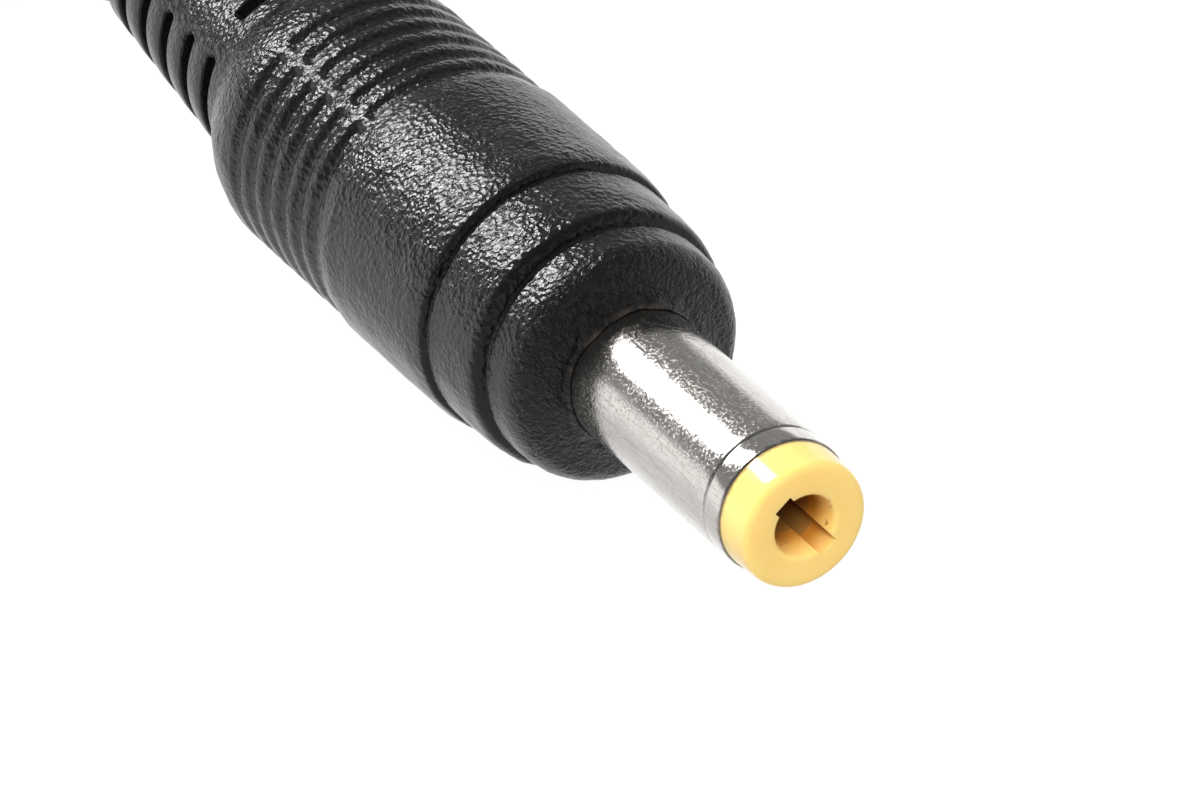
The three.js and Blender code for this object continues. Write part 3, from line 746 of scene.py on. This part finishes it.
def tube(name, path, radius, sides=20):
    """A round tube along a path."""
    rings = []
    for p, along in zip(path, directions(path)):
        across = along.cross(UP).normalized()
        over = across.cross(along)
        angles = [2 * math.pi * j / sides for j in range(sides)]
        rings.append([
            p + (across * math.cos(a) + over * math.sin(a)) * radius for a in angles
        ])
    return loft(name, rings, 60)


def make_cord():
    """The cord, and its centreline in metres."""
    route = smooth_path(BRICK_LEAD + coil_points() + PLUG_LEAD, 1.6)
    cord = tube("dc_cord", route, CORD_RADIUS)
    dress(cord, "cord_jacket")
    # The bundle stands where the nickel sleeve would otherwise mirror it
    cord.visible_glossy = False
    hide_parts("dc_cord_brick_lead", "dc_cord_coil", "dc_cord_plug_lead")
    return cord, [list(p * MM) for p in route]


def strap_line():
    """The strap's middle line in the bundle's cross-section, clockwise from the top."""
    reach = COIL_PITCH * COIL_COLUMNS / 2 + 0.75
    low, high, corner = 0.5, 2 * 2 * CORD_RADIUS + COIL_LIFT + 0.52, 1.9
    seam = Vector((2.0, high))
    line = [seam]
    for cx, cz, start in (
        (reach - corner, high - corner, 90), (reach - corner, low + corner, 0),
        (-reach + corner, low + corner, -90), (-reach + corner, high - corner, -180),
    ):
        for k in range(9):
            a = math.radians(start - 90 * k / 8)
            line.append(Vector((cx + corner * math.cos(a), cz + corner * math.sin(a))))
    line.append(seam)
    # The end climbs over the start and lies on it
    lap = [
        Vector((2.6, high + 0.15)), Vector((4.2, high + 0.75)), Vector((6.4, high + 0.92)),
        Vector((reach - 2.2, high + 0.9)),
    ]
    tail = [Vector((reach - 1.2, high + 0.86)), Vector((reach - 0.3, high + 0.55))]
    return resample(line, 0.7) + resample(lap, 0.5) + tail


def make_strap():
    """A hook-and-loop strap once round the bundle, its end lapped over on top."""
    turn = math.radians(STRAP_ANGLE)
    outward = Vector((math.cos(turn), math.sin(turn), 0))
    along = Vector((-math.sin(turn), math.cos(turn), 0))
    middle = Vector((*COIL_CENTRE, 0)) + outward * (COIL_MID_RADIUS - 0.2)
    section = [
        (w, t) for w, t, _ in rounded_ring(STRAP_WIDTH, STRAP_THICK, STRAP_EDGE, 0, 3)
    ]
    line = strap_line()
    rings = []
    for i, (p, step) in enumerate(zip(line, directions(line))):
        normal = Vector((-step.y, step.x))
        ring = []
        for w, t in section:
            fray = 0.12 * noise.noise(Vector((i * 0.35, w, 0))) * (1 if abs(w) > 3 else 0.3)
            q = p + normal * (t + 0.5 * fray)
            ring.append(middle + outward * q.x + UP * max(q.y, 0.03) + along * (w + fray))
        rings.append(ring)
    strap = loft("strap", rings, 50)
    dress(strap, "strap_fabric")
    strap.visible_glossy = False
    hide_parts("cord_strap")
    return strap


# ------------------------------------------------------------------ brick

def along_x(y, z):
    return lambda s, r, angle: Vector((
        s, y + r * math.cos(math.radians(angle)), z + r * math.sin(math.radians(angle)),
    ))


def upright(x, y):
    return lambda s, r, angle: Vector((
        x + r * math.cos(math.radians(angle)), y + r * math.sin(math.radians(angle)), s,
    ))


def case_half(name, seam, end):
    """One half of the case, from the seam to its closed side, hollow."""
    up = 1 if end > seam else -1

    def ring(inset, z):
        return rounded_ring(
            CASE_LENGTH - 2 * inset, CASE_WIDTH - 2 * inset, max(CASE_CORNER - inset, 0.4), z,
        )

    inner_end = end - up * CASE_WALL
    rings = [
        ring(CASE_WALL + 1.2, inner_end), ring(CASE_WALL + 0.35, inner_end - up * 0.35),
        ring(CASE_WALL, inner_end - up * 1.2), ring(CASE_WALL, seam),
        ring(0.3, seam), ring(0.09, seam + up * 0.08), ring(0, seam + up * 0.3),
    ]
    steps = 8
    for k in range(steps + 1):
        a = math.radians(90 * k / steps)
        rings.append(ring(
            CASE_EDGE * (1 - math.cos(a)), end - up * CASE_EDGE * (1 - math.sin(a)),
        ))
    return loft(name, rings)


def rod_cutter(start, end, radius, place, sides=48):
    """A throwaway cylinder along the axis that place stands for."""
    outline = [Vector(p) for p in ((start, 0), (start, radius), (end, radius), (end, 0))]
    return lathe("cutter", outline, sides, place)


def make_case():
    top = case_half("brick_top", CASE_SEAM + CASE_SEAM_GAP, CASE_TOP)
    bottom = case_half("brick_bottom", CASE_SEAM - CASE_SEAM_GAP, CASE_BOTTOM)
    half_x = CASE_LENGTH / 2
    w, h, z = INLET["width"] / 2 + FIT_GAP, INLET["height"] / 2 + FIT_GAP, INLET["z"]
    cord_exit = along_x(0, DC_EXIT_Z)
    for half in (top, bottom):
        cut(half, block("cutter", (half_x - 8, -w, z - h), (half_x + 8, w, z + h), 0.5))
        cut(half, rod_cutter(-half_x - 3, -half_x + 5, DC_EXIT_RADIUS, cord_exit, 64))
    cut(top, rod_cutter(20, 40, LIGHT_PIPE_RADIUS + FIT_GAP, upright(*LIGHT_PIPE_PLACE)))
    length, width = LABEL_LENGTH + 2 * FIT_GAP, LABEL_WIDTH + 2 * FIT_GAP
    cut(bottom, loft("cutter", [
        rounded_ring(length, width, LABEL_CORNER, level)
        for level in (-1, CASE_BOTTOM + LABEL_RECESS)
    ]))
    for x, y in FEET.values():
        cut(bottom, rod_cutter(-1, FOOT_TOP + FIT_GAP, FOOT_RADIUS + FIT_GAP, upright(x, y)))
    for half, node in ((top, "case_top"), (bottom, "case_bottom")):
        smooth(half, 35)
        dress(half, "case_plastic")
        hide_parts(node)


def make_feet_and_label():
    for name, (x, y) in FEET.items():
        outline = fillet([
            (0.05, 0), (0.0, FOOT_RADIUS - 0.4, 0.2), (0.12, FOOT_RADIUS, 0.3),
            (FOOT_TOP, FOOT_RADIUS), (FOOT_TOP, 0),
        ])
        foot = lathe("pad_" + name, outline, 64, upright(x, y))
        dress(foot, "foot_rubber")
        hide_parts(name)
    label = loft("blank_label", [
        rounded_ring(LABEL_LENGTH - less, LABEL_WIDTH - less, LABEL_CORNER - less / 2, level)
        for less, level in ((0, 0.9), (0, 1.07), (0.1, 1.1))
    ])
    dress(label, "label_film")
    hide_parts("rating_label_blank")


def make_inlet():
    half_x = CASE_LENGTH / 2
    w, h, z = INLET["width"] / 2, INLET["height"] / 2, INLET["z"]
    back = half_x - INLET["depth"]
    floor_x = back + INLET["floor"]
    housing = block("inlet", (back, -w, z - h), (half_x, w, z + h), 0.4, 3)
    sw, sh, c = SOCKET["width"] / 2, SOCKET["height"] / 2, SOCKET["chamfer"]
    mouth = fillet([
        (0, -sh), (sw, -sh, 1.0), (sw, sh - c, 1.2), (sw - c, sh, 1.2), (-sw + c, sh, 1.2),
        (-sw, sh - c, 1.2), (-sw, -sh, 1.0), (0, -sh),
    ], 6)[:-1]

    def ring(x, spread):
        return [(x, y * (1 + spread / sw), z + v * (1 + spread / sh)) for y, v in mouth]

    cut(housing, loft("cutter", [ring(floor_x, 0), ring(half_x + 1, 0)]))
    cut(housing, loft("cutter", [ring(half_x - 0.45, 0), ring(half_x + 1, 1.45)]))
    half_y, half_z = BLADE_THICK / 2, BLADE_TALL / 2
    hole_y, hole_z = half_y + FIT_GAP, half_z + FIT_GAP
    for y, v in BLADES.values():
        cut(housing, block(
            "cutter", (back - 1, y - hole_y, z + v - hole_z),
            (floor_x + 1, y + hole_y, z + v + hole_z),
        ))
    smooth(housing, 30)
    dress(housing, "inlet_plastic")
    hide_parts("ac_inlet_housing")
    for name, (y, v) in BLADES.items():
        blade = block(
            "blade_" + name, (back - 2.5, y - half_y, z + v - half_z),
            (floor_x + BLADE_STICKS_OUT, y + half_y, z + v + half_z), 0.55, 4,
        )
        dress(blade, "nickel")
        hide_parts(name)


def make_brick_boot():
    """The brick's strain relief, outlined by its distance from the brick's middle."""
    points = [
        (49.9, 0), (49.9, 5.3, 0.3), (51.5, 5.3, 0.2), (51.5, 4.2), (54.3, 4.2),
        (54.3, 5.6, 0.25), (55.7, 5.6, 0.5), (56.1, 4.0, 0.3),
    ]
    fins, first_radius, last_radius = 7, 4.9, 3.3
    for i in range(fins):
        top = first_radius + (last_radius - first_radius) * i / (fins - 1)
        root = top - 0.95 + 0.08 * i
        s = 56.5 + 2.6 * i
        points += [
            (s - 0.25, root, 0.1), (s, top, 0.28), (s + 1.7, top - 0.05, 0.28),
            (s + 1.95, root, 0.1),
        ]
    points += [
        (74.9, 2.95, 0.2), (76, 2.8, 0.25), (76, CORD_RADIUS + 0.06),
        (74.6, CORD_RADIUS + 0.06), (74.6, 0),
    ]
    outline = [Vector((-p.x, p.y)) for p in fillet(points)]
    boot = lathe("brick_boot", outline, 96, along_x(0, DC_EXIT_Z))
    dress(boot, "plug_moulding")
    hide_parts("dc_strain_relief")
    return boot


def make_light_pipe():
    low, high, radius = 11.2, 29.45, LIGHT_PIPE_RADIUS
    outline = fillet([(low, 0), (low, radius), (high, radius, 0.3), (high, 0)])
    pipe = lathe("light_window", outline, 48, upright(*LIGHT_PIPE_PLACE))
    dress(pipe, "clear_plastic")
    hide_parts("light_pipe")


def make_contact():
    outline = fillet([
        (3.9, 1.1), (3.9, 1.5, 0.15), (13, 1.5, 0.1), (13, 0.8), (16.8, 0.8, 0.2), (16.8, 0),
        (12, 0), (12, 1.1), (3.9, 1.1),
    ], 4)[:-1]
    contact = lathe("contact_tube", outline, 72)
    dress(contact, "contact_brass")
    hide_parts("plug_centre_contact")
    return contact


# ------------------------------------------------------------------ plug

def grip_outlines():
    """The moulding's outline twice, point for point: cut by ribs and slots, and uncut."""
    front = fillet([
        (13.0, BARREL_RADIUS - 0.02), (BARREL_FRONT - 0.1, BARREL_RADIUS + 0.005),
        (BARREL_FRONT - 0.16, BARREL_RADIUS + 0.04, 0.03), (BARREL_FRONT - 0.02, 2.98, 0.12),
        (BARREL_FRONT + 0.16, 3.5, 0.5),
        (11.2, 4.55, 0.6), (11.75, 4.97, 0.5), (12.95, 5.03, 0.15), (13.1, 4.8, 0.1),
        (13.3, 4.82, 0.12), (13.5, 5.38, 0.3), (14.6, 5.48, 0.5), (16.55, 5.5, 0.15),
        (16.66, 5.34, 0.06), (16.8, 5.36, 0.06), (16.9, 5.68, 0.22), (17.6, 5.78, 0.5),
        (23.9, GRIP_RADIUS, 0.4), (24.5, RIB_RADIUS, 0.3), (24.66, RIB_RADIUS),
    ])
    carved = resample(front, 0.22)
    plain = list(carved)

    def add(points, flat):
        carved.extend(Vector(p) for p in points)
        plain.extend(Vector(p) for p in flat)

    steps = 6
    groove = [
        (RIB_HALF_WIDTH * k / steps,
         RIB_DEPTH * (0.5 + 0.5 * math.cos(math.pi * k / steps)) ** 0.8)
        for k in range(-steps, steps + 1)
    ]
    for i in range(RIB_COUNT):
        s = RIB_FIRST + i * RIB_PITCH
        add(
            [(s + d, RIB_RADIUS - depth) for d, depth in groove],
            [(s + d, RIB_RADIUS) for d, _ in groove],
        )
    shoulder = resample(fillet([
        (31.5, RIB_RADIUS), (32.1, RIB_RADIUS, 0.7), (33.2, 5.4, 1.0), (34.3, 4.88, 0.7),
        (34.86, 4.4, 0.25), (SHOULDER_END, boot_radius(SHOULDER_END) + 0.03, 0.08),
        (BOOT_START, boot_radius(BOOT_START)),
    ], 7), 0.3)
    add(shoulder, shoulder)
    core = 2.68
    for i in range(SLOT_COUNT):
        s0 = SLOT_FIRST + i * SLOT_PITCH - SLOT_WIDTH / 2
        s1 = s0 + SLOT_WIDTH
        r0, r1 = boot_radius(s0), boot_radius(s1)
        add(
            [(s0 - 0.1, r0), (s0 - 0.03, r0 - 0.03), (s0, r0 - 0.12), (s0, core + 0.1),
             (s0 + 0.1, core), (s1 - 0.1, core), (s1, core + 0.1), (s1, r1 - 0.12),
             (s1 + 0.03, r1 - 0.03), (s1 + 0.1, r1)],
            [(s0 - 0.1, r0), (s0, r0), (s0 + 0.1, r0 - 0.01), (s0 + 0.2, r0 - 0.02),
             (s0 + 0.3, r0 - 0.03), (s1 - 0.3, r1 + 0.03), (s1 - 0.2, r1 + 0.02),
             (s1 - 0.1, r1 + 0.01), (s1, r1), (s1 + 0.1, r1)],
        )
        if i < SLOT_COUNT - 1:
            middle = s1 + (SLOT_PITCH - SLOT_WIDTH) / 2
            add([(middle, boot_radius(middle) + 0.02)], [(middle, boot_radius(middle))])
    end = fillet([
        (45.2, boot_radius(45.2)), (BOOT_END, boot_radius(BOOT_END), 0.3),
        (BOOT_END, CORD_RADIUS + 0.08), (44.6, CORD_RADIUS + 0.08),
    ], 4)
    add(end, end)
    return carved, plain


def boot_radius(s):
    return BOOT_RADIUS - BOOT_TAPER * (s - 36)


def spine_weight(angle):
    """1 where the boot's slots are cut, 0 on its two spines."""
    off = abs((angle - SPINE_ANGLE + 90) % 180 - 90)
    return ease((off - SPINE_WIDTH / 2) / 2.5)


def rib_weight(angle):
    """1 where the ribs are cut, 0 on the two parting lines."""
    off = abs((angle - PARTING_ANGLE + 90) % 180 - 90)
    return ease((off - 1.2) / 3.0)


def make_plug_moulding():
    carved, plain = grip_outlines()
    sides = 320
    verts = []
    for a, b in zip(carved, plain):
        on_boot = a.x > BOOT_START + 0.02
        for j in range(sides):
            angle = 360 * j / sides
            weight = spine_weight(angle) if on_boot else rib_weight(angle)
            s, r = b.lerp(a, weight)
            verts.append(relief(plug_point(s, r, angle)))
    faces = grid_faces(len(carved), sides, closed_rows=True)
    grip = new_object("plug_grip", verts, faces, 50)
    face_outwards(grip)
    dress(grip, "plug_moulding")
    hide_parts("plug_overmould")
    return grip


def relief(point):
    """A slight unevenness of the moulding."""
    offset = point - PLUG_RIM
    s = offset.dot(AXIS)
    outward = offset - AXIS * s
    radius = outward.length
    if s > SHOULDER_END - 0.08:
        return point
    if radius < 3.3 and s < 11.5:
        # The collar's thin flash runs unevenly round the sleeve
        wander = noise.noise(point * 0.9) * 0.16 + noise.noise(point * 3.3) * 0.05
        return point + AXIS * wander * min(1, (3.3 - radius) / 0.3)
    if radius < 2.9:
        return point
    soft = noise.noise(point * 1.1) * 0.03 + noise.noise(point * 3.1) * 0.014
    moved = point + outward.normalized() * soft
    moved.z = max(moved.z, 0.0)
    return moved


def make_plug_barrel():
    outline = resample(fillet([
        (14.1, BARREL_RADIUS), (1.16, BARREL_RADIUS, 0.02), (1.09, BARREL_RADIUS - 0.06, 0.02),
        (1.04, BARREL_RADIUS - 0.06, 0.02), (0.98, BARREL_RADIUS - 0.01, 0.02),
        (0.05, BARREL_RADIUS - 0.01, 0.03), (0.0, BARREL_RADIUS - 0.05, 0.02),
        (-0.02, 2.45, 0.05),
        (14.1, 2.45), (14.1, BARREL_RADIUS),
    ], 3)[:-1], 0.5)
    barrel = lathe("plug_sleeve", outline, 192)
    dress(barrel, "nickel")
    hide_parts("plug_barrel")
    return barrel


def make_plug_tip():
    outline = resample(fillet([
        (TIP_END, TIP_BORE), (-0.9, TIP_BORE, 0.5), (TIP_FACE, TIP_MOUTH, 0.18),
        (TIP_FACE, TIP_RADIUS - 0.02, 0.36), (-1.0, TIP_RADIUS + 0.01, 0.2),
        (0.0, TIP_RADIUS + 0.07), (0.0, 2.3), (TIP_END, 2.3), (TIP_END, TIP_BORE),
    ], 8)[:-1], 0.35)
    tip = lathe("plug_tip", outline, 160)
    width, length = TIP_SLOT
    cutter = block(
        "cutter", (-width / 2, TIP_FACE - 1, -length / 2), (width / 2, TIP_END + 1, length / 2),
    )
    lean = Matrix.Rotation(math.radians(-TIP_SLOT_ANGLE), 4, "Y")
    turn = Matrix.Rotation(PLUG_TURN, 4, "Z")
    cutter.data.transform(Matrix.Translation(PLUG_RIM * MM) @ turn @ lean)
    bpy.context.view_layer.update()
    cut(tip, cutter)
    smooth(tip, 30)
    dress(tip, "yellow_plastic")
    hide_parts("plug_tip_insulator")
    return tip


# ------------------------------------------------------------------ stage

LIGHT_DISTANCE = 0.9  # metres


def make_floor():
    half, z = 20000, -0.05
    corners = [(-half, -half, z), (half, -half, z), (half, half, z), (-half, half, z)]
    floor = new_object("floor", corners, [(0, 1, 2, 3)])
    m = Shader("floor_white")
    cloud = m.noise(400, 2, 0.5)
    m.set(
        base=m.blend(cloud, (0.1, 0.1, 0.1), (0.12, 0.12, 0.12)), rough=0.7, specular=0.1,
        emission=(1.0, 1.0, 0.995), emission_strength=0.97,
    )
    floor.data.materials.append(m.material)
    # The floor shows only to the camera; the light from below is the studio's white surround
    floor.visible_diffuse = floor.visible_glossy = False
    floor.visible_transmission = floor.visible_shadow = False


def area_light(name, direction, size, power):
    """A soft light that shines on the plug; its size is in metres."""
    data = bpy.data.lights.new(name, "AREA")
    data.shape = "RECTANGLE"
    data.size, data.size_y = size
    data.energy = power
    light = bpy.data.objects.new(name, data)
    way = direction.normalized()
    light.location = PLUG_RIM * MM + way * LIGHT_DISTANCE
    light.rotation_euler = (-way).to_track_quat("-Z", "Y").to_euler()
    light.visible_camera = False
    bpy.context.collection.objects.link(light)
    return light


def make_light():
    world = bpy.data.worlds.new("studio")
    bpy.context.scene.world = world
    world.use_nodes = True
    n = Nodes(world.node_tree)
    direction = n.node("ShaderNodeTexCoord").outputs["Generated"]

    def facing(way, low, high, to_low, to_high):
        """A value that changes from to_low to to_high as the direction turns to face way."""
        return n.span(n.dot(direction, way), low, high, to_low, to_high)

    # A white sweep behind the plug up to a slanting edge, greyer at two places, under a dim
    # ceiling, and a darker room in front
    sweep = facing(UP + SIDE * 0.133, 0.17, 0.24, 1.26, 0.33)
    under_coil_side = AXIS * 0.74 - UP * 0.54 + SIDE * 0.4
    sweep = n.times(sweep, facing(under_coil_side, 0.9, 0.99, 1.0, 0.7))
    below = AXIS * 0.74 - UP * 0.64 - SIDE * 0.2
    sweep = n.times(sweep, facing(below, 0.92, 0.98, 1.0, 0.88))
    room = n.times(sweep, facing(AXIS, -0.4, 0.1, 0.42, 1.0))
    background = n.tree.nodes["Background"]
    background.inputs["Color"].default_value = (1, 1, 1, 1)
    n.link(room, background.inputs["Strength"])
    area_light("key_softbox", AXIS * 0.74 + SIDE * 0.304 + UP * 0.6, (0.185, 0.5), 7.4)
    front = area_light("front_fill", AXIS * -0.55 + SIDE * 0.35 + UP * 0.75, (0.5, 0.5), 9.5)
    # Soft light on matt things only: it would show as a second softbox in the nickel
    front.visible_glossy = False


# ------------------------------------------------------------------ build

bpy.context.scene.view_settings.view_transform = "Standard"

make_camera()
MATERIALS = make_materials()
dress_nodes()
cord, cord_route = make_cord()
grip = make_plug_moulding()
barrel = make_plug_barrel()
tip = make_plug_tip()
contact = make_contact()
strap = make_strap()
brick_boot = make_brick_boot()
make_case()
make_feet_and_label()
make_inlet()
make_light_pipe()
make_floor()
make_light()
